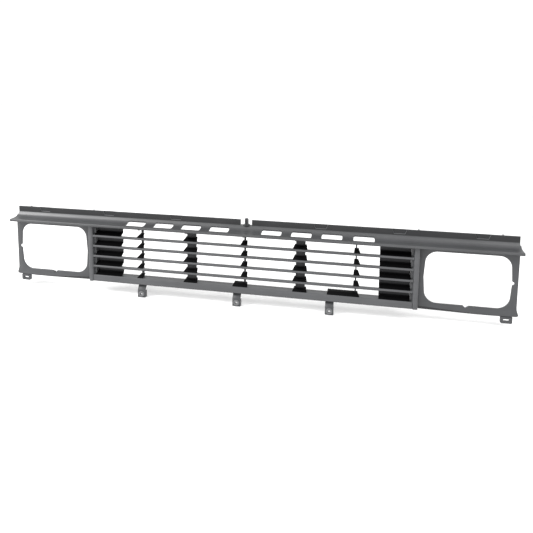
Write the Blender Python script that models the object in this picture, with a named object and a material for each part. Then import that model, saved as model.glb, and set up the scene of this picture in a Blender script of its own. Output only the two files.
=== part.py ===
"""Full-width front grille of a compact pickup, with a rectangular headlamp surround at each end.

Metres, +Z up. The face looks along -Y and the vehicle is behind it, at +Y. X = 0 is the middle of the grille,
Z = 0 is the lower edge of the three mounting tabs, and Y = 0 is midway between the front and the back.
"""

import math

import bmesh
import bpy
from mathutils import Matrix, Vector

COLLECTION = "front_grille"
CUTTERS = "cutters"
GAP = 0.0003
WALL = 0.003

# Heights
FLANGE_TOP = 0.2335
FLANGE_HEIGHT = 0.0157
COVE_DROP = 0.0141
LIP_FACE = 0.0072
RAIL_BOTTOM = 0.0367
RAIL_HEIGHT = 0.0186
RAIL_NOSE = 0.0024
RAIL_LIP_DEPTH = 0.0205
SLAT_PITCH = 0.0290
SLAT_COUNT = 4
SLAT_HEIGHT = 0.0066
TOP_SLAT_CENTRE = 0.1673
BEZEL_BOTTOM = 0.0317
BEZEL_CORNER_DROP = 0.0050
BEZEL_SLOPE_TOP = 0.0455
BEZEL_SLOPE_TAPER = 0.05
BEZEL_BAR_TOP = 0.0480
LAMP_BOTTOM = 0.0520
LAMP_HEIGHT = 0.1330

CREASE = FLANGE_TOP - FLANGE_HEIGHT
LIP_TOP = CREASE - COVE_DROP
LIP_BOTTOM = LIP_TOP - LIP_FACE
RAIL_TOP = RAIL_BOTTOM + RAIL_HEIGHT

# Depths, from the foremost to the rearmost
LIP_FRONT = -0.0275
LIP_BLEND = -0.0210
RAIL_FRONT = -0.0165
RAMP_FRONT = -0.0150
SLAT_DEPTH = 0.0085
CELL_WALL_FRONT = -0.0075
WEB_FRONT = -0.0020
BEZEL_FRONT = -0.0015
RAMP_BACK = 0.0030
BEZEL_BACK = 0.0070
RIB_BACK = 0.0080
RAIL_BACK = 0.0100
POST_BACK = 0.0110
FLANGE_FRONT = 0.0130
FLANGE_THICKNESS = 0.0040
PEG_CENTRE = 0.0175
BEHIND = 0.0400

# Widths, as distances from the middle
HALF_FLANGE = 0.6860
HALF_LIP = 0.6880
HALF_RAIL = 0.4357
POST_INNER = 0.4360
POST_OUTER = 0.4497
BEZEL_INNER = 0.4500
BEZEL_OUTER = 0.6845
BEZEL_FLARE = 0.0050
LAMP_INNER = 0.4650
LAMP_OUTER = 0.6680
LAMP_BOW = 0.0025
LAMP_LOWER_RADIUS = 0.0310
LAMP_UPPER_RADIUS = 0.0290
BLANK_INNER = 0.3530
BLANK_OUTER = 0.4300
CELL_WALL_INNER = 0.4303
BEZEL_SLOPE_END = 0.6550
SLAT_REACH = 0.4377

# Header details: the cove is a curve with four controls, each (how far forward, how far down) from the crease
COVE_CONTROLS = ((0.0, 0.0), (0.0065, 0.0125), (0.0110, COVE_DROP), (FLANGE_FRONT - LIP_BLEND, COVE_DROP))
WINDOW_CENTRES = (0.0715, 0.1510, 0.2305, 0.3120)
WINDOW_WIDTH = 0.0530
WINDOW_FRONT = -0.0160
WINDOW_BACK = 0.0090
WINDOW_RADIUS = 0.0035
POCKET_CENTRES = (0.2000, 0.4000, 0.6000)
POCKET_TOP_WIDTH = 0.0380
POCKET_BOTTOM_WIDTH = 0.0270
POCKET_HEIGHT = 0.0115
POCKET_DEPTH = 0.0022
PIP_CENTRES = (0.4470, 0.6460)
PIP_RADIUS = 0.0030
NOTCH_HALF_WIDTH = 0.0155
NOTCH_MOUTH = 0.0130
NOTCH_TIP = 0.0042
NOTCH_DEPTH = 0.0072
LEDGE_DEPTH = 0.0145
PEG_RADIUS = 0.0055
PEG_COLLAR_RADIUS = 0.0100
PEG_COLLAR_HEIGHT = 0.0022
LEDGE_DROP = 0.0012
PEG_RISE = 0.0028

# Ribs: the middle of each web, then how far its ramps reach to the left and right of it, below and above
NARROW_WEB = 0.0035
WIDE_WEB = 0.0240
NARROW_RIBS = {
    "left": (-0.2940, (0.0105, 0.0060), (0.0055, 0.0050)),
    "centre": (0.0, (0.0090, 0.0090), (0.0062, 0.0062)),
    "right": (0.2940, (0.0060, 0.0105), (0.0050, 0.0055)),
}
WIDE_RIBS = {
    "left": (-0.1500, (0.0190, 0.0190), (0.0155, 0.0155)),
    "right": (0.1500, (0.0190, 0.0190), (0.0155, 0.0155)),
}
# Rib side: how far the ramp of the lowest cell reaches to the left of that rib
LONG_RAMPS = {"centre": 0.0310, "right": 0.0720}
RAMP_NOSE = 0.0012
RAMP_RISE = 0.0085
SHEET = 0.0025
SHELF_DROP = 0.0030
HEAD_DROP = 0.0060
HEAD_LIP = 0.0020

# Lower tabs and end feet
TAB_CENTRES = {"left": -0.2930, "centre": -0.0200, "right": 0.2290}
TAB_WIDTH = 0.0220
TAB_PLATE = 0.0035
TAB_FACE = -0.0140
TAB_ROOT = 0.0010
TAB_KNEE = 0.0215
TAB_BOX_DEPTH = 0.0120
GROMMET_HOLE = 0.0060
GROMMET_BORE = 0.0035
GROMMET_FLANGE = 0.0085
FOOT_INNER = 0.6490
FOOT_OUTER = 0.6770
FOOT_BOTTOM = 0.0145
FOOT_FRONT = 0.0
FOOT_BACK = 0.0070
FOOT_SLOT_HALF = 0.0080
FOOT_SLOT_HEIGHT = 0.0055

SIDES = {"left": -1.0, "right": 1.0}

CHARCOAL = (0.040, 0.042, 0.044, 1.0)
MID_GREY = (0.055, 0.057, 0.059, 1.0)
DEEP_BLACK = (0.012, 0.012, 0.013, 1.0)
RUBBER_GREY = (0.110, 0.112, 0.115, 1.0)


# ---------------------------------------------------------------- scene and objects


def clear_scene():
    for old in list(bpy.data.objects):
        bpy.data.objects.remove(old, do_unlink=True)


def collection(name, hidden=False):
    made = bpy.data.collections.new(name)
    bpy.context.scene.collection.children.link(made)
    made.hide_render = hidden
    return made


def plastic(name, colour, roughness):
    made = bpy.data.materials.new(name)
    made.use_nodes = True
    shader = made.node_tree.nodes["Principled BSDF"]
    shader.inputs["Base Color"].default_value = colour
    shader.inputs["Roughness"].default_value = roughness
    shader.inputs["Metallic"].default_value = 0.0
    return made


def new_object(name, mesh, material=None):
    """A mesh object: a visible part when it has a material, otherwise a helper for a Boolean."""
    made = bpy.data.objects.new(name, mesh)
    if material:
        mesh.materials.append(material)
        bpy.data.collections[COLLECTION].objects.link(made)
    else:
        made.hide_render = True
        made.display_type = "WIRE"
        bpy.data.collections[CUTTERS].objects.link(made)
    return made


def outline_mesh(name, points, thickness, turn):
    """The closed outline extruded by the thickness, half to each side, then turned into its plane."""
    curve = bpy.data.curves.new(name, "CURVE")
    curve.dimensions = "2D"
    curve.fill_mode = "BOTH"
    curve.extrude = thickness / 2
    spline = curve.splines.new("POLY")
    spline.points.add(len(points) - 1)
    for point, (across, up) in zip(spline.points, points):
        point.co = (across, up, 0.0, 1.0)
    spline.use_cyclic_u = True
    guide = bpy.data.objects.new(name, curve)
    bpy.context.scene.collection.objects.link(guide)
    bpy.context.view_layer.update()
    graph = bpy.context.evaluated_depsgraph_get()
    mesh = bpy.data.meshes.new_from_object(guide.evaluated_get(graph))
    bpy.data.objects.remove(guide, do_unlink=True)
    bpy.data.curves.remove(curve)
    work = bmesh.new()
    work.from_mesh(mesh)
    bmesh.ops.remove_doubles(work, verts=work.verts, dist=0.00001)
    work.transform(turn)
    bmesh.ops.recalc_face_normals(work, faces=work.faces)
    if work.calc_volume(signed=True) < 0:
        bmesh.ops.reverse_faces(work, faces=work.faces)
    work.to_mesh(mesh)
    work.free()
    mesh.name = name
    return mesh


# Outlines are drawn in one of three planes: (Y, Z) run along X, (X, Z) run along Y, (X, Y) run along Z.
ALONG_X = Matrix(((0, 0, 1, 0), (1, 0, 0, 0), (0, 1, 0, 0), (0, 0, 0, 1)))
ALONG_Y = Matrix(((1, 0, 0, 0), (0, 0, -1, 0), (0, 1, 0, 0), (0, 0, 0, 1)))
ALONG_Z = Matrix.Identity(4)


def side_prism(name, outline, x_from, x_to, material=None):
    made = new_object(name, outline_mesh(name, outline, x_to - x_from, ALONG_X), material)
    made.location.x = (x_from + x_to) / 2
    return made


def face_prism(name, outline, y_from, y_to, material=None):
    made = new_object(name, outline_mesh(name, outline, y_to - y_from, ALONG_Y), material)
    made.location.y = (y_from + y_to) / 2
    return made


def plan_prism(name, outline, z_from, z_to, material=None):
    made = new_object(name, outline_mesh(name, outline, z_to - z_from, ALONG_Z), material)
    made.location.z = (z_from + z_to) / 2
    return made


def box(name, low, high):
    mesh = bpy.data.meshes.new(name)
    work = bmesh.new()
    bmesh.ops.create_cube(work, size=1.0)
    size = Vector(high) - Vector(low)
    bmesh.ops.scale(work, vec=size, verts=work.verts)
    work.to_mesh(mesh)
    work.free()
    made = new_object(name, mesh)
    made.location = (Vector(high) + Vector(low)) / 2
    return made


def cylinder(name, radius, low, high, material=None, sides=24):
    """A cylinder whose axis runs from low to high."""
    axis = Vector(high) - Vector(low)
    mesh = bpy.data.meshes.new(name)
    work = bmesh.new()
    bmesh.ops.create_cone(
        work, cap_ends=True, segments=sides, radius1=radius, radius2=radius, depth=axis.length
    )
    work.transform(axis.to_track_quat("Z", "Y").to_matrix().to_4x4())
    work.to_mesh(mesh)
    work.free()
    made = new_object(name, mesh, material)
    made.location = (Vector(high) + Vector(low)) / 2
    return made


def combine(target, other, operation):
    step = target.modifiers.new(operation.lower(), "BOOLEAN")
    step.operation = operation
    step.object = other
    step.solver = "EXACT"


def joined(name, helpers, material=None):
    """One object whose mesh holds the helpers' separate bodies, in place of the helpers."""
    work = bmesh.new()
    for helper in helpers:
        copy = helper.data.copy()
        copy.transform(Matrix.Translation(helper.location))
        work.from_mesh(copy)
        bpy.data.meshes.remove(copy)
        bpy.data.objects.remove(helper, do_unlink=True)
    mesh = bpy.data.meshes.new(name)
    work.to_mesh(mesh)
    work.free()
    return new_object(name, mesh, material)


# ---------------------------------------------------------------- outlines


def arc(centre, radius, start, end, steps):
    """Points of an arc, with angles in degrees measured from the first axis towards the second."""
    points = []
    for step in range(steps + 1):
        angle = math.radians(start + (end - start) * step / steps)
        points.append((centre[0] + radius * math.cos(angle), centre[1] + radius * math.sin(angle)))
    return points


def rounded_box(low, high, radii, steps=6):
    """A rectangle with a radius for each corner: bottom left, bottom right, top right, top left."""
    corners = (
        (low[0], low[1], 1, 1, 180),
        (high[0], low[1], -1, 1, 270),
        (high[0], high[1], -1, -1, 0),
        (low[0], high[1], 1, -1, 90),
    )
    points = []
    for (x, z, to_x, to_z, start), radius in zip(corners, radii):
        points += arc((x + to_x * radius, z + to_z * radius), radius, start, start + 90, steps)
    return points


def cove(inset, steps=9):
    """The concave sweep from the crease forward to the lip, moved into the wall by the inset."""
    sweep = []
    for step in range(steps + 1):
        along = step / steps
        weights = [math.comb(3, power) * along**power * (1 - along) ** (3 - power) for power in range(4)]
        forward = sum(weight * control[0] for weight, control in zip(weights, COVE_CONTROLS))
        drop = sum(weight * control[1] for weight, control in zip(weights, COVE_CONTROLS))
        sweep.append(Vector((FLANGE_FRONT - forward, CREASE - drop)))
    points = []
    for index, point in enumerate(sweep):
        along = sweep[min(index + 1, steps)] - sweep[max(index - 1, 0)]
        into_wall = Vector((-along.y, along.x)).normalized()
        points.append(tuple(point + inset * into_wall))
    return points


def slat_centres():
    return [TOP_SLAT_CENTRE - SLAT_PITCH * step for step in range(SLAT_COUNT)]


def cells():
    """(floor, ceiling) of each opening between the rail, the slats and the lip, from the lowest up."""
    edges = [RAIL_TOP]
    for centre in reversed(slat_centres()):
        edges += [centre - SLAT_HEIGHT / 2, centre + SLAT_HEIGHT / 2]
    edges.append(LIP_BOTTOM)
    return [(edges[i] + GAP, edges[i + 1] - GAP) for i in range(0, len(edges), 2)]


def head(top):
    """The foot under the header's lip with which each upright member of the louvres ends."""
    front = LIP_BLEND - WALL
    return [(front, top - HEAD_LIP), (front, top)]


def web_outline():
    """Side view of a rib's web: set back in each cell, and forward to the back of each slat."""
    slat_back = RAIL_FRONT + SLAT_DEPTH + GAP
    spans = cells()
    points = []
    for (_, ceiling), (next_floor, _) in zip(spans, spans[1:]):
        points += [(WEB_FRONT, ceiling), (slat_back, ceiling)]
        points += [(slat_back, next_floor), (WEB_FRONT, next_floor)]
    floor, top = spans[0][0], spans[-1][1]
    points = [(WEB_FRONT, floor)] + points + [(WEB_FRONT, top - HEAD_DROP)]
    return points + head(top) + [(RIB_BACK, top), (RIB_BACK, floor)]


def panel_outline():
    """Side view of a blanking panel: a folded sheet with a sloping floor and an upright wall in each cell."""
    slat_back = RAIL_FRONT + SLAT_DEPTH + GAP
    sheet_back = RAMP_BACK + SHEET
    spans = cells()
    front, rear = [], []
    for index, (floor, ceiling) in enumerate(spans):
        front += [(RAMP_FRONT, floor), (RAMP_FRONT, floor + RAMP_NOSE), (RAMP_BACK, floor + RAMP_RISE)]
        rear += [(slat_back + SHEET, floor), (sheet_back, floor + RAMP_RISE - SHEET)]
        if index < len(spans) - 1:
            shelf = ceiling - SHELF_DROP
            front += [(RAMP_BACK, shelf), (slat_back, shelf), (slat_back, spans[index + 1][0])]
            rear += [(sheet_back, shelf + SHEET), (slat_back + SHEET, shelf + SHEET)]
    top = spans[-1][1]
    front += [(RAMP_BACK, top - HEAD_DROP)] + head(top) + [(sheet_back, top)]
    return front + list(reversed(rear))


def ramp_outline(floor):
    return [
        (RAMP_FRONT, floor),
        (RAIL_FRONT + SLAT_DEPTH, floor),
        (RAMP_BACK + SHEET, floor + RAMP_RISE - SHEET),
        (RAMP_BACK + SHEET, floor + RAMP_RISE),
        (RAMP_BACK, floor + RAMP_RISE),
        (RAMP_FRONT, floor + RAMP_NOSE),
    ]


# ---------------------------------------------------------------- the header


def header_outline():
    under = cove(WALL)
    nose = 0.0022
    points = [(FLANGE_FRONT, FLANGE_TOP)]
    points += cove(0.0)
    points += arc((LIP_FRONT + nose, LIP_TOP - nose), nose, 90, 180, 3)
    points += arc((LIP_FRONT + nose, LIP_BOTTOM + nose), nose, 180, 270, 3)
    points += [(LIP_BLEND + 0.004, LIP_BOTTOM), (LIP_BLEND + 0.004, under[-2][1])]
    points += list(reversed(under[:-2]))
    points += [(FLANGE_FRONT + FLANGE_THICKNESS, CREASE)]
    points += [(FLANGE_FRONT + FLANGE_THICKNESS, FLANGE_TOP)]
    return points


def header_windows():
    """Eight rounded openings through the cove, seen in plan, four on each side of the middle."""
    found = []
    for side in SIDES.values():
        for centre in WINDOW_CENTRES:
            low = (side * centre - WINDOW_WIDTH / 2, WINDOW_FRONT)
            high = (side * centre + WINDOW_WIDTH / 2, WINDOW_BACK)
            outline = rounded_box(low, high, (WINDOW_RADIUS,) * 4, 4)
            found.append(plan_prism("window", outline, LIP_TOP - 0.010, FLANGE_TOP - 0.002))
    return joined("header_windows", found)


def flange_pockets():
    """Shallow trapezoid recesses in the front of the flange, open at its top edge."""
    found = []
    for side in SIDES.values():
        for centre in POCKET_CENTRES:
            top, bottom = POCKET_TOP_WIDTH / 2, POCKET_BOTTOM_WIDTH / 2
            x, z = side * centre, FLANGE_TOP - POCKET_HEIGHT
            above = FLANGE_TOP + 0.002
            outline = [(x - bottom, z), (x + bottom, z), (x + top, above), (x - top, above)]
            back = FLANGE_FRONT + POCKET_DEPTH
            found.append(face_prism("pocket", outline, FLANGE_FRONT - 0.002, back))
    return joined("flange_pockets", found)


def flange_pips():
    """Small half-round locating pips that stand on the top edge of the flange."""
    found = []
    for side in SIDES.values():
        for centre in PIP_CENTRES:
            y = FLANGE_FRONT + FLANGE_THICKNESS / 2
            low = (side * centre, y - 0.0012, FLANGE_TOP - 0.0005)
            high = (side * centre, y + 0.0012, FLANGE_TOP - 0.0005)
            found.append(cylinder("pip", PIP_RADIUS, low, high, sides=16))
    return joined("flange_pips", found)


def header_soffits():
    """Flat strips under the two ends of the lip, on which the lamp bezels seat."""
    found = []
    for side in SIDES.values():
        ends = sorted((side * (BEZEL_INNER + 0.002), side * (HALF_FLANGE - 0.001)))
        low = (ends[0], LIP_BLEND + 0.002, LIP_BOTTOM + 0.0001)
        high = (ends[1], FLANGE_FRONT - 0.006, LIP_BOTTOM + 0.0025)
        found.append(box("soffit", low, high))
    return joined("header_soffits", found)


def header_rail(material):
    rail = side_prism("header_rail", header_outline(), -HALF_LIP, HALF_LIP, material)
    trim = []
    for side in SIDES.values():
        ends = sorted((side * HALF_FLANGE, side * (HALF_LIP + 0.010)))
        low = (ends[0], LIP_BLEND + 0.006, CREASE - COVE_DROP / 2)
        trim.append(box("end_trim", low, (ends[1], BEHIND, FLANGE_TOP + 0.010)))
    combine(rail, joined("header_end_trims", trim), "DIFFERENCE")
    ledge_half = NOTCH_HALF_WIDTH + WALL
    ledge_low = (-ledge_half, FLANGE_FRONT + 0.001, CREASE - LEDGE_DROP - WALL)
    ledge_high = (ledge_half, FLANGE_FRONT + LEDGE_DEPTH, CREASE - LEDGE_DROP)
    combine(rail, box("peg_ledge", ledge_low, ledge_high), "UNION")
    combine(rail, header_soffits(), "UNION")
    combine(rail, flange_pips(), "UNION")
    notch_low = (-NOTCH_HALF_WIDTH, FLANGE_FRONT - 0.010, CREASE - LEDGE_DROP)
    notch_high = (NOTCH_HALF_WIDTH, BEHIND, FLANGE_TOP + 0.010)
    combine(rail, box("peg_notch", notch_low, notch_high), "DIFFERENCE")
    combine(rail, header_windows(), "DIFFERENCE")
    combine(rail, flange_pockets(), "DIFFERENCE")
    return rail


def locating_peg(material):
    """The round peg in the notch, with a collar that sits on the ledge."""
    base = CREASE - LEDGE_DROP + GAP
    foot, tip = (0, PEG_CENTRE, base), (0, PEG_CENTRE, FLANGE_TOP + PEG_RISE)
    collar_top = (0, PEG_CENTRE, base + PEG_COLLAR_HEIGHT)
    peg = cylinder("locating_peg", PEG_RADIUS, foot, tip, material, sides=32)
    combine(peg, cylinder("peg_collar", PEG_COLLAR_RADIUS, foot, collar_top, sides=32), "UNION")
    return peg


# ---------------------------------------------------------------- the louvres


def slat_outline(centre, clearance=0.0):
    low = (RAIL_FRONT - clearance, centre - SLAT_HEIGHT / 2 - clearance)
    high = (RAIL_FRONT + SLAT_DEPTH + clearance, centre + SLAT_HEIGHT / 2 + clearance)
    front, rear = 0.0024, 0.0008
    return rounded_box(low, high, (front, rear, rear, front), 4)


def louvre_slats(material):
    for number, centre in enumerate(slat_centres(), start=1):
        side_prism(f"louvre_slat_{number}", slat_outline(centre), -SLAT_REACH, SLAT_REACH, material)


def bottom_rail(material):
    """A channel: a deep front face with a shelf above, for the ribs, and a lip below, for the tabs."""
    nose = RAIL_NOSE
    lip_back = RAIL_FRONT + RAIL_LIP_DEPTH
    points = arc((RAIL_FRONT + nose, RAIL_BOTTOM + nose), nose, 270, 180, 4)
    points += arc((RAIL_FRONT + nose, RAIL_TOP - nose), nose, 180, 90, 4)
    points += [(RAIL_BACK, RAIL_TOP), (RAIL_BACK, RAIL_TOP - WALL)]
    points += [(RAIL_FRONT + WALL, RAIL_TOP - WALL), (RAIL_FRONT + WALL, RAIL_BOTTOM + WALL)]
    points += [(lip_back, RAIL_BOTTOM + WALL), (lip_back, RAIL_BOTTOM)]
    side_prism("bottom_rail", points, -HALF_RAIL, HALF_RAIL, material)


def ramps(name, centre, below, above, long_reach):
    """One ramp in each cell, narrower above than below, that sheds air over the slat under it."""
    found = []
    for index, (floor, _) in enumerate(cells()):
        reach = long_reach if index == 0 and long_reach else below[0]
        foot = (centre - reach, centre + below[1])
        crest = (centre - reach + below[0] - above[0], centre + above[1])
        ramp = side_prism(name, ramp_outline(floor), foot[0], foot[1])
        for vertex in ramp.data.vertices:
            if vertex.co.z > floor + RAMP_RISE / 2:
                vertex.co.x = crest[vertex.co.x > 0] - ramp.location.x
        found.append(ramp)
    return joined(name, found)


def rib(name, web_width, placing, material, long_reach=None):
    centre, below, above = placing
    made = side_prism(name, web_outline(), centre - web_width / 2, centre + web_width / 2, material)
    combine(made, ramps(name + "_ramps", centre, below, above, long_reach), "UNION")


def ribs(material):
    for place, placing in NARROW_RIBS.items():
        rib(f"louvre_rib_narrow_{place}", NARROW_WEB, placing, material, LONG_RAMPS.get(place))
    for place, placing in WIDE_RIBS.items():
        rib(f"louvre_rib_wide_{place}", WIDE_WEB, placing, material)


def blanking_panels(material):
    """Closed panels at both ends of the slats, with the same sloping floor in each cell."""
    for place, side in SIDES.items():
        ends = sorted((side * BLANK_INNER, side * BLANK_OUTER))
        side_prism(f"blanking_panel_{place}", panel_outline(), ends[0], ends[1], material)


def mirrored(points, side):
    turned = [(side * across, along) for across, along in points]
    return turned if side > 0 else list(reversed(turned))


def cell_wall(place, side):
    """Seen in plan, an L: a wall behind the slats' ends that turns back beside the blanking panel."""
    front, back = CELL_WALL_FRONT, RAMP_BACK + SHEET
    inner, outer = CELL_WALL_INNER, POST_INNER + WALL
    outline = [
        (inner, front),
        (outer, front),
        (outer, front + SHEET),
        (inner + SHEET, front + SHEET),
        (inner + SHEET, back),
        (inner, back),
    ]
    return plan_prism(f"cell_wall_{place}", mirrored(outline, side), RAIL_TOP + GAP, LIP_BOTTOM - 2 * GAP)


def end_posts(material):
    """Rounded upright posts with a thin wall behind the slats' ends and a blind socket for each slat."""
    radius = 0.0045
    top = LIP_BOTTOM - GAP
    for place, side in SIDES.items():
        ends = sorted((side * POST_INNER, side * POST_OUTER))
        low, high = (ends[0], RAIL_FRONT - 0.0015), (ends[1], POST_BACK)
        outline = rounded_box(low, high, (radius, radius, 0.001, 0.001), 5)
        post = plan_prism(f"end_post_{place}", outline, RAIL_BOTTOM, top, material)
        combine(post, cell_wall(place, side), "UNION")
        sockets = []
        for centre in slat_centres():
            reach = sorted((side * (POST_INNER - 0.002), side * (SLAT_REACH + GAP)))
            sockets.append(side_prism("socket", slat_outline(centre, GAP), reach[0], reach[1]))
        combine(post, joined(f"sockets_{place}", sockets), "DIFFERENCE")


# ---------------------------------------------------------------- the lamp bezels


def bezel_outline():
    """The outer edge of a bezel on the right, flared at its outer lower corner."""
    left, right = BEZEL_INNER, BEZEL_OUTER
    top, bottom = LIP_BOTTOM - GAP, BEZEL_BOTTOM
    flare = BEZEL_FLARE
    return [
        (left, bottom + 0.0005),
        (right - 0.040, bottom),
        (right + flare - 0.004, bottom + BEZEL_CORNER_DROP - 0.002),
        (right + flare, bottom + BEZEL_CORNER_DROP + 0.002),
        (right, bottom + 0.024),
        (right, top),
        (left, top),
    ]


def lamp_outline(steps=8):
    """The lamp opening on the right, with larger radii below and gently bowed upright sides."""
    low = (LAMP_INNER, LAMP_BOTTOM)
    high = (LAMP_OUTER, LAMP_BOTTOM + LAMP_HEIGHT)
    lower, upper = LAMP_LOWER_RADIUS, LAMP_UPPER_RADIUS
    middle = (low[1] + high[1]) / 2
    points = arc((low[0] + lower, low[1] + lower), lower, 180, 270, steps)
    points += arc((high[0] - lower, low[1] + lower), lower, 270, 360, steps)
    points.append((high[0] + LAMP_BOW, middle))
    points += arc((high[0] - upper, high[1] - upper), upper, 0, 90, steps)
    points += arc((low[0] + upper, high[1] - upper), upper, 90, 180, steps)
    points.append((low[0] - LAMP_BOW, middle))
    return points


def bezel_hollow(place, side):
    """The space behind the bezel's face, inside its rim and above its solid lower bar."""
    left, right = BEZEL_INNER + WALL, BEZEL_OUTER - WALL
    outline = [
        (left, BEZEL_BAR_TOP),
        (right, BEZEL_BAR_TOP),
        (right, LIP_BOTTOM - GAP - WALL),
        (left, LIP_BOTTOM - GAP - WALL),
    ]
    return face_prism(f"hollow_{place}", mirrored(outline, side), BEZEL_FRONT + WALL, BEHIND)


def bezel_slope(place, side):
    """The cut that turns the lower edge of the face back and down, deepest beside the end post."""
    low = BEZEL_BOTTOM - 0.001
    front = BEZEL_FRONT - 0.001
    outline = [(front, low), (BEZEL_BACK - 0.0015, low), (front, BEZEL_SLOPE_TOP)]
    ends = sorted((side * (BEZEL_INNER - 0.002), side * BEZEL_SLOPE_END))
    cut = side_prism(f"slope_{place}", outline, ends[0], ends[1])
    for vertex in cut.data.vertices:
        if vertex.co.x * side > 0:
            vertex.co.y = front + (vertex.co.y - front) * BEZEL_SLOPE_TAPER
            vertex.co.z = low + (vertex.co.z - low) * BEZEL_SLOPE_TAPER
    return cut


def lamp_bezels(material):
    """Shallow surrounds, hollow behind a thin face, with two notches for the lamp's aim adjusters."""
    for place, side in SIDES.items():
        name = f"lamp_bezel_{place}"
        bezel = face_prism(name, mirrored(bezel_outline(), side), BEZEL_FRONT, BEZEL_BACK, material)
        opening = mirrored(lamp_outline(), side)
        ends = BEZEL_FRONT - 0.005, BEZEL_BACK + 0.005
        combine(bezel, bezel_hollow(place, side), "DIFFERENCE")
        combine(bezel, face_prism(f"lamp_opening_{place}", opening, *ends), "DIFFERENCE")
        combine(bezel, adjuster_notches(place, side), "DIFFERENCE")
        combine(bezel, bezel_slope(place, side), "DIFFERENCE")


def adjuster_notches(place, side):
    """Two notches with sloping sides, one in the outer edge of the opening and one in its lower edge."""
    ends = BEZEL_FRONT - 0.005, BEZEL_BACK + 0.005
    overlap, mouth, tip, depth = 0.004, NOTCH_MOUTH / 2, NOTCH_TIP / 2, NOTCH_DEPTH
    middle = LAMP_BOTTOM + LAMP_HEIGHT / 2
    across = (LAMP_INNER + LAMP_OUTER) / 2
    outer = [
        (LAMP_OUTER - overlap, middle - mouth),
        (LAMP_OUTER, middle - mouth),
        (LAMP_OUTER + depth, middle - tip),
        (LAMP_OUTER + depth, middle + tip),
        (LAMP_OUTER, middle + mouth),
        (LAMP_OUTER - overlap, middle + mouth),
    ]
    lower = [
        (across - mouth, LAMP_BOTTOM + overlap),
        (across - mouth, LAMP_BOTTOM),
        (across - tip, LAMP_BOTTOM - depth),
        (across + tip, LAMP_BOTTOM - depth),
        (across + mouth, LAMP_BOTTOM),
        (across + mouth, LAMP_BOTTOM + overlap),
    ]
    cuts = [face_prism("notch", mirrored(outline, side), *ends) for outline in (outer, lower)]
    return joined(f"adjuster_notches_{place}", cuts)


# ---------------------------------------------------------------- tabs and feet


def tab_outline():
    """Side view of a cranked tab: a root under the rail, a slope forward, and an upright plate."""
    root, knee = RAIL_BOTTOM - GAP, TAB_KNEE
    slope = TAB_PLATE * 1.3
    return [
        (TAB_ROOT - slope, root),
        (TAB_FACE, knee),
        (TAB_FACE, 0.0),
        (TAB_FACE + TAB_PLATE, 0.0),
        (TAB_FACE + TAB_PLATE, knee - 0.0015),
        (TAB_ROOT, root),
    ]


def lower_tabs(material):
    hole_height = TAB_KNEE / 2 - 0.001
    box_back = TAB_FACE + TAB_BOX_DEPTH
    for place, centre in TAB_CENTRES.items():
        left, right = centre - TAB_WIDTH / 2, centre + TAB_WIDTH / 2
        tab = side_prism(f"lower_tab_{place}", tab_outline(), left, right, material)
        cheeks = []
        for x in (left, right - 0.0025):
            low = (x, TAB_FACE + 0.0005, 0.0)
            cheeks.append(box("cheek", low, (x + 0.0025, box_back, TAB_KNEE - 0.003)))
        combine(tab, joined(f"tab_cheeks_{place}", cheeks), "UNION")
        hole = ((centre, TAB_FACE - 0.003, hole_height), (centre, TAB_FACE + 0.008, hole_height))
        combine(tab, cylinder(f"tab_hole_{place}", GROMMET_HOLE, *hole), "DIFFERENCE")


def tab_grommets(material):
    """A grommet in each tab: a flange in front of the plate, a neck through it and a bore."""
    height = TAB_KNEE / 2 - 0.001
    for place, centre in TAB_CENTRES.items():
        front = TAB_FACE - GAP
        face = (centre, front - 0.0018, height)
        head = cylinder(f"tab_grommet_{place}", GROMMET_FLANGE, face, (centre, front, height), material)
        neck_start = (centre, front - 0.0005, height)
        neck_end = (centre, TAB_FACE + TAB_PLATE + 0.0015, height)
        neck = cylinder(f"grommet_neck_{place}", GROMMET_HOLE - GAP, neck_start, neck_end)
        bore_start = (centre, front - 0.004, height)
        bore_end = (centre, TAB_FACE + 0.010, height)
        combine(head, neck, "UNION")
        combine(head, cylinder(f"grommet_bore_{place}", GROMMET_BORE, bore_start, bore_end), "DIFFERENCE")


def end_feet(material):
    """Slotted loops under the outer lower corners of the bezels."""
    for place, side in SIDES.items():
        ends = sorted((side * FOOT_INNER, side * FOOT_OUTER))
        low, high = (ends[0], FOOT_BOTTOM), (ends[1], BEZEL_BOTTOM - GAP)
        outline = rounded_box(low, high, (0.004, 0.004, 0.0005, 0.0005), 4)
        foot = face_prism(f"end_foot_{place}", outline, FOOT_FRONT, FOOT_BACK, material)
        across, up = (ends[0] + ends[1]) / 2, (FOOT_BOTTOM + BEZEL_BOTTOM) / 2
        slot_low = (across - FOOT_SLOT_HALF, up - FOOT_SLOT_HEIGHT / 2)
        slot_high = (across + FOOT_SLOT_HALF, up + FOOT_SLOT_HEIGHT / 2)
        slot = rounded_box(slot_low, slot_high, (0.0026,) * 4, 4)
        cutter = face_prism(f"foot_slot_{place}", slot, FOOT_FRONT - 0.003, FOOT_BACK + 0.003)
        combine(foot, cutter, "DIFFERENCE")


# ---------------------------------------------------------------- assembly


def build():
    clear_scene()
    collection(COLLECTION)
    collection(CUTTERS, hidden=True)
    charcoal = plastic("charcoal_plastic", CHARCOAL, 0.48)
    louvre = plastic("louvre_plastic", MID_GREY, 0.42)
    recess = plastic("recess_plastic", DEEP_BLACK, 0.60)
    rubber = plastic("grommet_rubber", RUBBER_GREY, 0.70)
    header_rail(charcoal)
    locating_peg(charcoal)
    louvre_slats(louvre)
    bottom_rail(louvre)
    ribs(recess)
    blanking_panels(recess)
    end_posts(louvre)
    lamp_bezels(charcoal)
    lower_tabs(charcoal)
    tab_grommets(rubber)
    end_feet(charcoal)


build()
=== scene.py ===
"""The front grille's finished look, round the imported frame: moulded shapes, plastic, floor and light."""

import math

import bmesh
import bpy
from mathutils import Matrix, Vector


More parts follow.
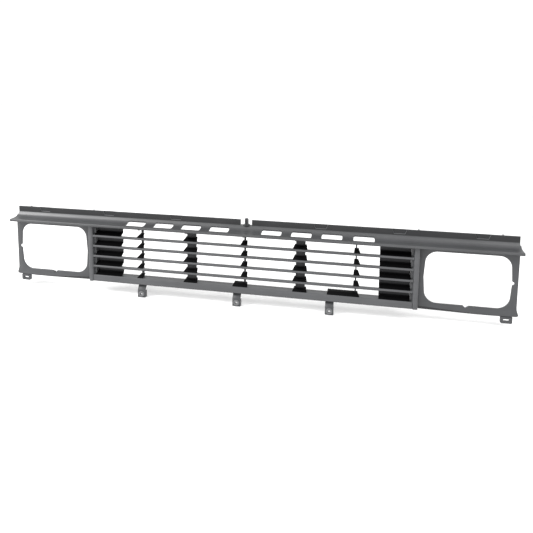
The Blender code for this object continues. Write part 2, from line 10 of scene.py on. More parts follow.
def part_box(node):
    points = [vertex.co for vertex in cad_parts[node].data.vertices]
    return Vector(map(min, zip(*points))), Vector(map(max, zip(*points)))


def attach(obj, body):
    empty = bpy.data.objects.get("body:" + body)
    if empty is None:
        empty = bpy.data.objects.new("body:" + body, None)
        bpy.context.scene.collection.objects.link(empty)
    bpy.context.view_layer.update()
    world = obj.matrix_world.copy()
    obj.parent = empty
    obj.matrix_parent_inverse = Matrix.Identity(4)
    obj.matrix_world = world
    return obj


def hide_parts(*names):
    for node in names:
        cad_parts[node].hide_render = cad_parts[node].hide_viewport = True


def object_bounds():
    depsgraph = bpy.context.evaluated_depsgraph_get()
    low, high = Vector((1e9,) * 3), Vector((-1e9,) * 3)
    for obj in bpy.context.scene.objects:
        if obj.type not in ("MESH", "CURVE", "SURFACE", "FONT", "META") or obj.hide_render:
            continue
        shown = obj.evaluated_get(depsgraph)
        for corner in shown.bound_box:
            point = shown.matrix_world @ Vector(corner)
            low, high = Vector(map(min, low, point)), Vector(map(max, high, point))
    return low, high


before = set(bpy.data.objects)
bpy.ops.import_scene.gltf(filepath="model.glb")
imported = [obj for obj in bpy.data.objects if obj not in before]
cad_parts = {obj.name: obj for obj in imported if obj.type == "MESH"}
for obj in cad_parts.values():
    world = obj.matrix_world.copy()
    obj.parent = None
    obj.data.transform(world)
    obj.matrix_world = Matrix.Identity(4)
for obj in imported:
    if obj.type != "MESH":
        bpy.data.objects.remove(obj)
CAD_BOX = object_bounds()

BODY = "root"
GAP = 0.0003
WALL = 0.0028
SIDES = {"left": -1.0, "right": 1.0}

# The frame's own measures
HEADER_LOW, HEADER_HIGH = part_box("header_rail")
RAIL_LOW, RAIL_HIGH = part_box("bottom_rail")
SLATS = [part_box(f"louvre_slat_{number}") for number in (1, 2, 3, 4)]
SLAT_PITCH = SLATS[0][0].z - SLATS[1][0].z
CELL_WALL_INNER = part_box("end_post_right")[0].x
POST_INNER = RAIL_HIGH.x + GAP
POST_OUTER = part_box("end_post_right")[1].x
BEZEL_LOW, BEZEL_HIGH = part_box("lamp_bezel_right")

# The header's section
PIP_RADIUS = 0.0025
FLANGE_TOP = HEADER_HIGH.z - PIP_RADIUS
FLANGE_HEIGHT = 0.0157
COVE_DROP = 0.0141
CREASE = FLANGE_TOP - FLANGE_HEIGHT
LIP_TOP = CREASE - COVE_DROP
LIP_BOTTOM = HEADER_LOW.z
LIP_FRONT = HEADER_LOW.y
LIP_BLEND = LIP_FRONT + 0.0065
FLANGE_FRONT = 0.0130
FLANGE_THICKNESS = 0.0038
# Painted shade: the flange's colour and gloss are multiplied by this, so it reads darker than the cove
FLANGE_PAINTED_SHADE = 0.50
# The cove is a curve with four controls, each (how far forward, how far down) from the crease
COVE_CONTROLS = ((0.0, 0.0), (0.0065, 0.0125), (0.0110, COVE_DROP), (FLANGE_FRONT - LIP_BLEND, COVE_DROP))
HALF_LIP = HEADER_HIGH.x
HALF_FLANGE = HALF_LIP - 0.0020

WINDOW_CENTRES = (0.0715, 0.1510, 0.2305, 0.3120)
WINDOW_WIDTH = 0.0530
WINDOW_FRONT = -0.0160
WINDOW_BACK = 0.0090
WINDOW_RADIUS = 0.0035
POCKET_CENTRES = (0.2000, 0.4000, 0.6000)
POCKET_HALF_TOP = 0.0190
POCKET_HALF_BOTTOM = 0.0135
POCKET_HEIGHT = 0.0115
POCKET_DEPTH = 0.0022
POCKET_DRAFT = 0.0022
PIP_CENTRES = (0.4470, 0.6460)
PIP_HALF_WIDTH = 0.0012
PIP_EDGE = 0.0004
NOTCH_HALF_WIDTH = 0.0155
NOTCH_BACK = FLANGE_FRONT + 0.0142
LEDGE_DROP = 0.0012
LEDGE_THICKNESS = 0.0030
HEADER_NOSE = 0.0022
PEG_RADIUS = 0.0055

# How far a cutter or a join reaches past the surface it works on
CLEAR = 0.0100
OVERLAP = 0.0020

# The louvres
SLAT_BACK = SLATS[0][1].y + GAP
RAMP_FRONT = -0.0150
RAMP_BACK = 0.0030
RAMP_NOSE = 0.0012
RAMP_RISE = 0.0085
WEB_FRONT = -0.0020
RIB_BACK = 0.0080
SHEET = 0.0025
SLAT_SWELL = 0.0016
SWELL_LENGTH = 0.0060
SWELL_STEPS = 6
SHELF_DROP = 0.0030
HEAD_DROP = 0.0060
HEAD_LIP = 0.0020
HEAD_FRONT = LIP_BLEND - 0.0030
SLAT_NOSE = 0.0026
SLAT_REAR = 0.0008
RAIL_NOSE = 0.0024
RAIL_EDGE = 0.0006
RAIL_LIP_DEPTH = 0.0205
POST_RADIUS = 0.0048
POST_EDGE = 0.0010
EDGE_ROUNDING = 0.0004
CELL_WALL_FRONT = -0.0075
NARROW_WEB = 0.0035
WIDE_WEB = 0.0240
NARROW_RIBS = {
    "left": (-0.2940, (0.0105, 0.0060), (0.0055, 0.0050)),
    "centre": (0.0, (0.0090, 0.0090), (0.0062, 0.0062)),
    "right": (0.2940, (0.0060, 0.0105), (0.0050, 0.0055)),
}
WIDE_RIBS = {
    "left": (-0.1500, (0.0190, 0.0190), (0.0155, 0.0155)),
    "right": (0.1500, (0.0190, 0.0190), (0.0155, 0.0155)),
}
LONG_RAMPS = {"centre": 0.0310, "right": 0.0720}

# The lamp opening
LAMP_INNER = 0.4650
LAMP_OUTER = 0.6680
LAMP_BOTTOM = 0.0520
LAMP_HEIGHT = 0.1330
LAMP_BOW = 0.0025
LAMP_LOWER_RADIUS = 0.0310
LAMP_UPPER_RADIUS = 0.0290
BEZEL_FLARE = 0.0050
BAR_TOP = 0.0480
SLOPE_TOP = 0.0455
SLOPE_END = 0.6550
NOTCH_MOUTH = 0.0065
NOTCH_TIP = 0.0021
NOTCH_DEPTH = 0.0072
LAMP_ROLL = 0.0024
LAMP_ROLL_DEPTH = 0.0022

# Tabs and feet
TAB_KNEE = 0.0215
TAB_PLATE = 0.0035
TAB_CHEEK = 0.0025
TAB_BOX_DEPTH = 0.0120
GROMMET_HOLE = 0.0060
GROMMET_BORE = 0.0035
GROMMET_NECK = 0.0056
FOOT_SLOT_HALF = 0.0080
FOOT_SLOT_HALF_HEIGHT = 0.00275

FLOOR_REACH = 12.0
CAMERA_PLACE = (0.311, -1.306, 0.5890)
CAMERA_YAW = 11.06
CAMERA_PITCH = 6.86
CAMERA_ROLL = 0.63
CAMERA_LENS = 34.87
CAMERA_SHIFT = -0.221


# ---------------------------------------------------------------- meshes


def loft(name, loops, smooth_angle=35.0):
    """A closed body through loops of equally many points, with both ends capped."""
    work = bmesh.new()
    rings = [[work.verts.new(point) for point in loop] for loop in loops]
    count = len(rings[0])
    for ring, following in zip(rings, rings[1:]):
        for index in range(count):
            after = (index + 1) % count
            work.faces.new((ring[index], ring[after], following[after], following[index]))
    work.faces.new(rings[0])
    work.faces.new(rings[-1])
    bmesh.ops.recalc_face_normals(work, faces=work.faces)
    if work.calc_volume(signed=True) < 0:
        bmesh.ops.reverse_faces(work, faces=work.faces)
    mesh = bpy.data.meshes.new(name)
    work.to_mesh(mesh)
    work.free()
    mesh.shade_smooth()
    mesh.set_sharp_from_angle(angle=math.radians(smooth_angle))
    made = bpy.data.objects.new(name, mesh)
    bpy.context.scene.collection.objects.link(made)
    return made


def along_x(name, outline, x_values):
    """An outline in the (Y, Z) plane carried along X, with a loop at each of the X values."""
    return loft(name, [[(x, y, z) for y, z in outline] for x in x_values])


def along_y(name, outline, y_values):
    return loft(name, [[(x, y, z) for x, z in outline] for y in y_values])


def along_z(name, outline, z_values):
    return loft(name, [[(x, y, z) for x, y in outline] for z in z_values])


def box(name, low, high):
    outline = [(low[1], low[2]), (high[1], low[2]), (high[1], high[2]), (low[1], high[2])]
    return along_x(name, outline, (low[0], high[0]))


def tube_loops(centre, radii_and_places, sides=40):
    """Rings round an axis along Y: each (radius, y) gives one ring."""
    loops = []
    for radius, y in radii_and_places:
        ring = []
        for index in range(sides):
            angle = math.tau * index / sides
            ring.append((centre[0] + radius * math.cos(angle), y, centre[1] + radius * math.sin(angle)))
        loops.append(ring)
    return loops


def arc(centre, radius, start, end, steps):
    points = []
    for step in range(steps + 1):
        angle = math.radians(start + (end - start) * step / steps)
        points.append((centre[0] + radius * math.cos(angle), centre[1] + radius * math.sin(angle)))
    return points


def rounded_box(low, high, radii, steps=6):
    """A rectangle with a radius for each corner: bottom left, bottom right, top right, top left."""
    corners = (
        (low[0], low[1], 1, 1, 180),
        (high[0], low[1], -1, 1, 270),
        (high[0], high[1], -1, -1, 0),
        (low[0], high[1], 1, -1, 90),
    )
    points = []
    for (across, up, to_across, to_up, start), radius in zip(corners, radii):
        centre = (across + to_across * radius, up + to_up * radius)
        points += arc(centre, radius, start, start + 90, steps)
    return points


def soften(piece, width, segments=2, angle=32.0):
    """Rounds the sharp edges of a piece and keeps its flats flat."""
    bevel = piece.modifiers.new("rounded_edges", "BEVEL")
    bevel.width = width
    bevel.segments = segments
    bevel.limit_method = "ANGLE"
    bevel.angle_limit = math.radians(angle)
    bevel.harden_normals = True
    return settle(piece)


def settle(piece):
    """Replaces a piece's mesh by what its modifiers make of it."""
    bpy.context.view_layer.update()
    graph = bpy.context.evaluated_depsgraph_get()
    mesh = bpy.data.meshes.new_from_object(piece.evaluated_get(graph))
    old = piece.data
    piece.modifiers.clear()
    piece.data = mesh
    bpy.data.meshes.remove(old)
    return piece


def combine(piece, others, operation):
    """Cuts the others from a piece, or joins them to it, one after another."""
    for number, other in enumerate(others):
        step = piece.modifiers.new(f"{operation.lower()}_{number}", "BOOLEAN")
        step.operation = operation
        step.object = other
        step.solver = "EXACT"
    settle(piece)
    for other in others:
        bpy.data.objects.remove(other, do_unlink=True)
    clean = bmesh.new()
    clean.from_mesh(piece.data)
    bmesh.ops.dissolve_degenerate(clean, dist=0.00001, edges=clean.edges)
    clean.to_mesh(piece.data)
    clean.free()
    piece.data.shade_smooth()
    piece.data.set_sharp_from_angle(angle=math.radians(35.0))
    return piece


def merged(name, pieces):
    """One object that holds the meshes of several."""
    work = bmesh.new()
    for piece in pieces:
        work.from_mesh(piece.data)
        bpy.data.objects.remove(piece, do_unlink=True)
    mesh = bpy.data.meshes.new(name)
    work.to_mesh(mesh)
    work.free()
    mesh.shade_smooth()
    mesh.set_sharp_from_angle(angle=math.radians(35.0))
    made = bpy.data.objects.new(name, mesh)
    bpy.context.scene.collection.objects.link(made)
    return made


def mirrored(points, side):
    turned = [(side * across, up) for across, up in points]
    return turned if side > 0 else list(reversed(turned))


def finish_piece(piece, material, slot, *nodes):
    piece.data.materials.clear()
    piece.data.materials.append(material)
    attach(piece, BODY)
    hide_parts(*nodes)
    return piece


# ---------------------------------------------------------------- materials


def node(tree, kind, **values):
    made = tree.nodes.new(kind)
    for key, value in values.items():
        setattr(made, key, value)
    return made


def component(tree, vector, axis):
    parts = node(tree, "ShaderNodeSeparateXYZ")
    tree.links.new(vector, parts.inputs["Vector"])
    return parts.outputs[axis]


def ranged(tree, value, start, end, at_start, at_end):
    """A value carried from one range to another, and held at the ends."""
    step = node(tree, "ShaderNodeMapRange")
    step.inputs["From Min"].default_value = start
    step.inputs["From Max"].default_value = end
    step.inputs["To Min"].default_value = at_start
    step.inputs["To Max"].default_value = at_end
    tree.links.new(value, step.inputs["Value"])
    return step.outputs["Result"]


def worked_out(tree, operation, first, second=None, constant=None):
    """A Math node on a socket and either another socket or a constant."""
    step = node(tree, "ShaderNodeMath", operation=operation)
    tree.links.new(first, step.inputs[0])
    if second:
        tree.links.new(second, step.inputs[1])
    if constant is not None:
        step.inputs[1].default_value = constant
    return step.outputs["Value"]


def painted_underside_shade(tree, place):
    """Painted shade: faces that look down are drawn darker than the front and top faces."""
    normal = node(tree, "ShaderNodeNewGeometry").outputs["True Normal"]
    return ranged(tree, component(tree, normal, "Z"), -0.45, -0.15, 0.40, 1.0)


def painted_flange_shade_and_highlight(tree, place):
    """Painted shade and highlight: the flange is drawn darker and less glossy than the cove, and the faces
    just behind its front, the sloping edges of its clip pockets and a strip of its top edge, get a painted
    highlight.
    """
    at = place.outputs["Object"]
    painted_flange_darkening = ranged(tree, component(tree, at, "Z"), CREASE - 0.0006, CREASE + 0.0006, 1.0, FLANGE_PAINTED_SHADE)
    near_edge = worked_out(tree, "SUBTRACT", component(tree, at, "Y"), constant=FLANGE_FRONT + 0.0011)
    distance = worked_out(tree, "ABSOLUTE", near_edge)
    # Painted highlight on the faces just behind the flange's front
    painted_edge_highlight = ranged(tree, distance, 0.0007, 0.0010, 1.2, 0.0)
    return worked_out(tree, "ADD", painted_flange_darkening, painted_edge_highlight)


def painted_cell_shadow(tree, place):
    """Painted shadow darkens the foot of each cell, just above every slat."""
    height = component(tree, place.outputs["Object"], "Z")
    above_slat = worked_out(tree, "SUBTRACT", height, constant=SLATS[0][1].z)
    cell = worked_out(tree, "FRACT", worked_out(tree, "DIVIDE", above_slat, constant=SLAT_PITCH))
    return ranged(tree, cell, 0.22, 0.42, 0.12, 1.0)


def moulded_plastic(name, dark, light, roughness, specular=0.42, grain=0.10, shades=()):
    """Satin black-grey plastic: fine spark grain, faint flow streaks along the part and soft colour drift,
    with painted shade on faces that look down and any further painted shading given.
    """
    made = bpy.data.materials.new(name)
    made.use_nodes = True
    tree = made.node_tree
    shader = tree.nodes["Principled BSDF"]
    shader.inputs["Metallic"].default_value = 0.0
    place = node(tree, "ShaderNodeTexCoord")

    drift = node(tree, "ShaderNodeTexNoise")
    drift.inputs["Scale"].default_value = 9.0
    drift.inputs["Detail"].default_value = 4.0
    tree.links.new(place.outputs["Object"], drift.inputs["Vector"])
    stretch = node(tree, "ShaderNodeMapping")
    stretch.inputs["Scale"].default_value = (3.0, 60.0, 60.0)
    tree.links.new(place.outputs["Object"], stretch.inputs["Vector"])
    streaks = node(tree, "ShaderNodeTexNoise")
    streaks.inputs["Scale"].default_value = 1.0
    streaks.inputs["Detail"].default_value = 5.0
    tree.links.new(stretch.outputs["Vector"], streaks.inputs["Vector"])
    blend = node(tree, "ShaderNodeMath", operation="ADD")
    tree.links.new(drift.outputs["Fac"], blend.inputs[0])
    tree.links.new(streaks.outputs["Fac"], blend.inputs[1])
    half = node(tree, "ShaderNodeMath", operation="MULTIPLY")
    half.inputs[1].default_value = 0.5
    tree.links.new(blend.outputs["Value"], half.inputs[0])
    colour = node(tree, "ShaderNodeValToRGB")
    colour.color_ramp.elements[0].position = 0.35
    colour.color_ramp.elements[0].color = (*dark, 1.0)
    colour.color_ramp.elements[1].position = 0.68
    colour.color_ramp.elements[1].color = (*light, 1.0)
    tree.links.new(half.outputs["Value"], colour.inputs["Fac"])
    # Painted shading: the painted shade on faces that look down, times any further painted shade or
    # highlight, scales the colour's value and the specular level.
    shade = painted_underside_shade(tree, place)
    for made_shade in shades:
        shade = worked_out(tree, "MULTIPLY", shade, made_shade(tree, place))
    shaded = node(tree, "ShaderNodeHueSaturation")
    tree.links.new(shade, shaded.inputs["Value"])
    tree.links.new(colour.outputs["Color"], shaded.inputs["Color"])
    tree.links.new(shaded.outputs["Color"], shader.inputs["Base Color"])
    gloss = worked_out(tree, "MULTIPLY", shade, constant=specular)
    tree.links.new(gloss, shader.inputs["Specular IOR Level"])

    sheen = node(tree, "ShaderNodeMapRange")
    sheen.inputs["From Min"].default_value = 0.3
    sheen.inputs["From Max"].default_value = 0.7
    sheen.inputs["To Min"].default_value = roughness - 0.05
    sheen.inputs["To Max"].default_value = roughness + 0.06
    tree.links.new(streaks.outputs["Fac"], sheen.inputs["Value"])
    tree.links.new(sheen.outputs["Result"], shader.inputs["Roughness"])

    pebble = node(tree, "ShaderNodeTexVoronoi")
    pebble.inputs["Scale"].default_value = 1500.0
    tree.links.new(place.outputs["Object"], pebble.inputs["Vector"])
    fine = node(tree, "ShaderNodeTexNoise")
    fine.inputs["Scale"].default_value = 2600.0
    fine.inputs["Detail"].default_value = 3.0
    tree.links.new(place.outputs["Object"], fine.inputs["Vector"])
    height = node(tree, "ShaderNodeMath", operation="ADD")
    tree.links.new(pebble.outputs["Distance"], height.inputs[0])
    tree.links.new(fine.outputs["Fac"], height.inputs[1])
    bump = node(tree, "ShaderNodeBump")
    bump.inputs["Strength"].default_value = grain
    bump.inputs["Distance"].default_value = 0.00012
    tree.links.new(height.outputs["Value"], bump.inputs["Height"])
    tree.links.new(bump.outputs["Normal"], shader.inputs["Normal"])
    return made


# ---------------------------------------------------------------- the header


def cove(inset, steps=28):
    """The concave sweep from the crease forward to the lip, moved into the wall by the inset."""
    sweep = []
    for step in range(steps + 1):
        along = step / steps
        weights = [math.comb(3, power) * along**power * (1 - along) ** (3 - power) for power in range(4)]
        forward = sum(weight * control[0] for weight, control in zip(weights, COVE_CONTROLS))
        drop = sum(weight * control[1] for weight, control in zip(weights, COVE_CONTROLS))
        sweep.append(Vector((FLANGE_FRONT - forward, CREASE - drop)))
    points = []
    for index, point in enumerate(sweep):
        along = sweep[min(index + 1, steps)] - sweep[max(index - 1, 0)]
        into_wall = Vector((-along.y, along.x)).normalized()
        points.append(tuple(point + inset * into_wall))
    return points


def header_outline():
    nose = HEADER_NOSE
    under = cove(WALL)
    back = FLANGE_FRONT + FLANGE_THICKNESS
    edge = 0.0010
    points = arc((FLANGE_FRONT + edge, FLANGE_TOP - edge), edge, 90, 180, 4)
    points += cove(0.0)
    points += arc((LIP_FRONT + nose, LIP_TOP - nose), nose, 90, 180, 6)
    points += arc((LIP_FRONT + nose, LIP_BOTTOM + nose), nose, 180, 270, 6)
    points += [(LIP_BLEND + 0.0035, LIP_BOTTOM), (LIP_BLEND + 0.0040, LIP_BOTTOM + 0.0005)]
    points += [(LIP_BLEND + 0.0040, under[-6][1])]
    points += list(reversed(under[:-6]))
    points += [(back, CREASE)]
    points += arc((back - edge, FLANGE_TOP - edge), edge, 0, 90, 4)
    return points


def window_cutters():
    found = []
    for side in SIDES.values():
        for centre in WINDOW_CENTRES:
            low = (side * centre - WINDOW_WIDTH / 2, WINDOW_FRONT)
            high = (side * centre + WINDOW_WIDTH / 2, WINDOW_BACK)
            outline = rounded_box(low, high, (WINDOW_RADIUS,) * 4, 8)
            found.append(along_z("window", outline, (LIP_TOP - 0.010, FLANGE_TOP - 0.002)))
    return found


def pocket_cutters():
    """Trapezoid clip pockets, open at the top edge of the flange, with sloping edges."""
    found = []
    front, above = FLANGE_FRONT - OVERLAP / 2, FLANGE_TOP + OVERLAP
    for side in SIDES.values():
        for centre in POCKET_CENTRES:
            x = side * centre
            loops = []
            for y, draft in ((front, POCKET_DRAFT), (FLANGE_FRONT + POCKET_DEPTH, 0.0)):
                low = FLANGE_TOP - POCKET_HEIGHT - draft * 0.8
                bottom = POCKET_HALF_BOTTOM + draft / 2
                top = POCKET_HALF_TOP + draft / 2
                loop = [(x - bottom, y, low), (x + bottom, y, low), (x + top, y, above), (x - top, y, above)]
                loops.append(loop)
            found.append(loft("pocket", loops))
    return found


def end_trims():
    """Cutters that end the flange and the cove a little short of the lip."""
    found = []
    for side in SIDES.values():
        low, high = sorted((side * HALF_FLANGE, side * (HALF_LIP + CLEAR)))
        place = (low, LIP_BLEND + 0.006, CREASE - COVE_DROP / 2)
        found.append(box("end_trim", place, (high, HEADER_HIGH.y + CLEAR, FLANGE_TOP + CLEAR)))
    return found


def notch_cutter():
    low = (-NOTCH_HALF_WIDTH, CREASE - LEDGE_DROP)
    high = (NOTCH_HALF_WIDTH, FLANGE_TOP + CLEAR)
    outline = rounded_box(low, high, (0.0015, 0.0015, 0.0004, 0.0004))
    return along_y("notch", outline, (FLANGE_FRONT - CLEAR, NOTCH_BACK))


def ledge():
    """The shelf behind the notch, on which the peg stands."""
    low = (-NOTCH_HALF_WIDTH - 0.003, FLANGE_FRONT + 0.001, CREASE - LEDGE_DROP - LEDGE_THICKNESS)
    high = (NOTCH_HALF_WIDTH + 0.003, HEADER_HIGH.y, CREASE - LEDGE_DROP)
    return box("ledge", low, high)


def soffit(side):
    """The flat strip under one end of the lip, on which a lamp bezel seats."""
    low, high = sorted((side * (POST_OUTER + 0.002), side * (HALF_FLANGE - 0.001)))
    front, back = LIP_BLEND + 0.002, FLANGE_FRONT - 0.006
    return box("soffit", (low, front, LIP_BOTTOM + 0.0001), (high, back, LIP_BOTTOM + 0.0025))


def pip(x):
    """A small half-round locating pip on the top edge of the flange."""
    y = FLANGE_FRONT + FLANGE_THICKNESS / 2
    rings = []
    for radius, away in (
        (PIP_RADIUS - PIP_EDGE, -PIP_HALF_WIDTH),
        (PIP_RADIUS, PIP_EDGE - PIP_HALF_WIDTH),
        (PIP_RADIUS, PIP_HALF_WIDTH - PIP_EDGE),
        (PIP_RADIUS - PIP_EDGE, PIP_HALF_WIDTH),
    ):
        rings.append((radius, y + away))
    return loft("pip", tube_loops((x, FLANGE_TOP - 0.0001), rings, 24))


def header():
    ends = (-HALF_LIP, -HALF_FLANGE, 0.0, HALF_FLANGE, HALF_LIP)
    rail = along_x("header", header_outline(), ends)
    additions = [ledge()]
    for side in SIDES.values():
        additions.append(soffit(side))
        additions += [pip(side * centre) for centre in PIP_CENTRES]
    combine(rail, additions, "UNION")
    combine(rail, end_trims() + [notch_cutter()] + window_cutters() + pocket_cutters(), "DIFFERENCE")
    return finish_piece(rail, HEADER_PLASTIC, "header_plastic", "header_rail")


def locating_peg():
    low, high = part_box("locating_peg")
    y = (low.y + high.y) / 2
    top, base = high.z, low.z
    radius, collar = PEG_RADIUS, (high.y - low.y) / 2
    profile = (
        (collar - 0.0004, base),
        (collar, base + 0.0004),
        (collar, base + 0.0016),
        (collar - 0.0006, base + 0.0022),
        (radius + 0.0012, base + 0.0022),
        (radius + 0.0002, base + 0.0034),
        (radius, base + 0.0050),
        (radius - 0.0002, top - 0.0026),
        (radius - 0.0006, top - 0.0012),
        (radius - 0.0020, top - 0.0002),
        (radius - 0.0035, top),
    )
    loops = []
    for ring, z in profile:
        loops.append(
            [
                (ring * math.cos(math.tau * i / 40), y + ring * math.sin(math.tau * i / 40), z)
                for i in range(40)
            ]
        )
    peg = loft("locating_peg_moulded", loops, 50.0)
    return finish_piece(peg, HEADER_PLASTIC, "header_plastic", "locating_peg")


# ---------------------------------------------------------------- the louvres


def slat_loop(x, low, high, swell):
    """The slat's section at x: a bull-nosed front, flat between its rounded edges, growing by the swell near
    its ends.
    """
    front, rear = SLAT_NOSE, SLAT_REAR
    bottom, top = low.z - swell, high.z + swell
    points = arc((low.y + front, bottom + front), front, 270, 180, 6)
    middle = (bottom + top) / 2
    points.append((low.y, middle))
    points += arc((low.y + front, top - front), front, 180, 90, 6)
    points += arc((high.y - rear, top - rear), rear, 90, 0, 3)
    points += arc((high.y - rear, bottom + rear), rear, 360, 270, 3)
    return [(x, y, z) for y, z in points]


def slats():
    for number, (low, high) in enumerate(SLATS, start=1):
        swells = []
        for step in range(SWELL_STEPS + 1):
            along = step / SWELL_STEPS
            swell = SLAT_SWELL * (1 - math.sqrt(1 - (1 - along) ** 2))
            swells.append((POST_INNER - SWELL_LENGTH * along, swell))
        loops = [slat_loop(-x, low, high, swell) for x, swell in swells]
        loops += [slat_loop(x, low, high, swell) for x, swell in reversed(swells)]
        piece = loft(f"slat_{number}", loops)
        finish_piece(piece, LOUVRE_PLASTIC, "louvre_plastic", f"louvre_slat_{number}")


def bottom_rail():
    """A channel: a deep front face, a shelf above for the ribs, and a shorter lip below for the tabs."""
    nose, edge = RAIL_NOSE, RAIL_EDGE
    bottom, top, front, back = RAIL_LOW.z, RAIL_HIGH.z, RAIL_LOW.y, RAIL_HIGH.y
    lip_back = front + RAIL_LIP_DEPTH
    points = arc((front + nose, bottom + nose), nose, 270, 180, 6)
    points += arc((front + nose, top - nose), nose, 180, 90, 6)
    points += arc((back - edge, top - edge), edge, 90, 0, 2)
    points += [(back, top - WALL), (front + WALL, top - WALL), (front + WALL, bottom + WALL)]
    points += [(lip_back, bottom + WALL)]
    points += arc((lip_back - edge, bottom + edge), edge, 360, 270, 2)
    half = RAIL_HIGH.x
    rail = along_x("rail", points, (-half, half))
    return finish_piece(rail, LOUVRE_PLASTIC, "louvre_plastic", "bottom_rail")


def cells():
    """(floor, ceiling) of each opening between the rail, the slats and the lip, from the lowest up."""
    edges = [RAIL_HIGH.z]
    for low, high in reversed(SLATS):
        edges += [low.z, high.z]
    edges.append(LIP_BOTTOM)
    return [(edges[i] + GAP, edges[i + 1] - GAP) for i in range(0, len(edges), 2)]


def head(top):
    """The foot under the header's lip with which each upright member of the louvres ends."""
    return [(HEAD_FRONT, top - HEAD_LIP), (HEAD_FRONT, top)]


def web_outline():
    """Side view of a rib's web: set back in each cell, and forward to the back of each slat."""
    spans = cells()
    points = [(WEB_FRONT, spans[0][0])]
    for (_, ceiling), (floor, _) in zip(spans, spans[1:]):
        points += [(WEB_FRONT, ceiling), (SLAT_BACK, ceiling), (SLAT_BACK, floor), (WEB_FRONT, floor)]
    top = spans[-1][1]
    return points + [(WEB_FRONT, top - HEAD_DROP)] + head(top) + [(RIB_BACK, top), (RIB_BACK, spans[0][0])]


def panel_outline():
    """Side view of a blanking panel: a folded sheet with a sloping floor and an upright wall in each cell."""
    sheet_back = RAMP_BACK + SHEET
    spans = cells()
    front, rear = [], []
    for index, (floor, ceiling) in enumerate(spans):
        front += [(RAMP_FRONT, floor), (RAMP_FRONT, floor + RAMP_NOSE), (RAMP_BACK, floor + RAMP_RISE)]
        rear += [(SLAT_BACK + SHEET, floor), (sheet_back, floor + RAMP_RISE - SHEET)]
        if index < len(spans) - 1:
            shelf = ceiling - SHELF_DROP
            front += [(RAMP_BACK, shelf), (SLAT_BACK, shelf), (SLAT_BACK, spans[index + 1][0])]
            rear += [(sheet_back, shelf + SHEET), (SLAT_BACK + SHEET, shelf + SHEET)]
    top = spans[-1][1]
    front += [(RAMP_BACK, top - HEAD_DROP)] + head(top) + [(sheet_back, top)]
    return front + list(reversed(rear))


def ramp(floor, foot, crest):
    """A gusset on a slat: a thick sheet that rises to the rear and narrows as it rises."""
    outline = (
        (RAMP_FRONT, floor, 0),
        (SLAT_BACK - GAP, floor, 0),
        (RAMP_BACK + SHEET, floor + RAMP_RISE - SHEET, 1),
        (RAMP_BACK + SHEET, floor + RAMP_RISE, 1),
        (RAMP_BACK, floor + RAMP_RISE, 1),
        (RAMP_FRONT, floor + RAMP_NOSE, 0),
    )
    loops = [[((foot, crest)[upper][end], y, z) for y, z, upper in outline] for end in (0, 1)]
    return loft("ramp", loops)


def rib(name, web, placing, long_reach=None):
    centre, below, above = placing
    body = along_x(name + "_web", web_outline(), (centre - web / 2, centre + web / 2))
    pieces = [soften(body, EDGE_ROUNDING)]
    for index, (floor, _) in enumerate(cells()):
        reach = long_reach if index == 0 and long_reach else below[0]
        foot = (centre - reach, centre + below[1])
        crest = (centre - reach + below[0] - above[0], centre + above[1])
        pieces.append(soften(ramp(floor, foot, crest), EDGE_ROUNDING))
    finish_piece(merged(name + "_moulded", pieces), SHADED_RECESS_PLASTIC, "recess_plastic", name)


def ribs():
    for place, placing in NARROW_RIBS.items():
        rib(f"louvre_rib_narrow_{place}", NARROW_WEB, placing, LONG_RAMPS.get(place))
    for place, placing in WIDE_RIBS.items():
        rib(f"louvre_rib_wide_{place}", WIDE_WEB, placing)


def blanking_panels():
    for place in SIDES:
        name = f"blanking_panel_{place}"
        low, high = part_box(name)
        panel = along_x(name + "_moulded", panel_outline(), (low.x, high.x))
        finish_piece(soften(panel, EDGE_ROUNDING), SHADED_PANEL_PLASTIC, "recess_plastic", name)


def cell_wall(side, top):
    """Seen in plan, an L: a wall behind the slats' ends that turns back beside the blanking panel."""
    front, back = CELL_WALL_FRONT, RAMP_BACK + SHEET
    inner, outer = CELL_WALL_INNER, POST_INNER + WALL
    outline = [
        (inner, front),
        (outer, front),
        (outer, front + SHEET),
        (inner + SHEET, front + SHEET),
        (inner + SHEET, back),
        (inner, back),
    ]
    return along_z("cell_wall", mirrored(outline, side), (RAIL_HIGH.z + GAP, top))


def end_posts():
    """Rounded posts, each with the thin wall that closes the small end cells between the slats."""
    radii = (POST_RADIUS, POST_RADIUS, POST_EDGE, POST_EDGE)
    for place, side in SIDES.items():
        name = f"end_post_{place}"
        low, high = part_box(name)
        ends = sorted((side * POST_INNER, side * POST_OUTER))
        outline = rounded_box((ends[0], low.y), (ends[1], high.y), radii, 8)
        post = along_z(name + "_body", outline, (low.z, high.z))
        body = merged(name + "_moulded", [post, cell_wall(side, high.z - GAP)])
        finish_piece(body, LOUVRE_PLASTIC, "louvre_plastic", name)


# ---------------------------------------------------------------- the lamp bezels


def bezel_outline(inset):
    """The outer edge of the right bezel, flared at its outer lower corner, moved in by the inset."""
    left, right = BEZEL_LOW.x + inset, BEZEL_HIGH.x - BEZEL_FLARE - inset
    top, bottom = BEZEL_HIGH.z - inset, BEZEL_LOW.z + inset
    flare = BEZEL_FLARE
    return [
        (left, bottom + 0.0005),
        (left + 0.06, bottom + 0.0003),
        (right - 0.060, bottom),
        (right - 0.020, bottom + 0.0008),
        (right + flare - 0.0045, bottom + 0.0020),
        (right + flare - 0.0012, bottom + 0.0036),
        (right + flare, bottom + 0.0068),
        (right + flare * 0.5, bottom + 0.0130),
        (right + flare * 0.12, bottom + 0.0200),
        (right, bottom + 0.0260),
        (right, top),
        (left, top),
    ]


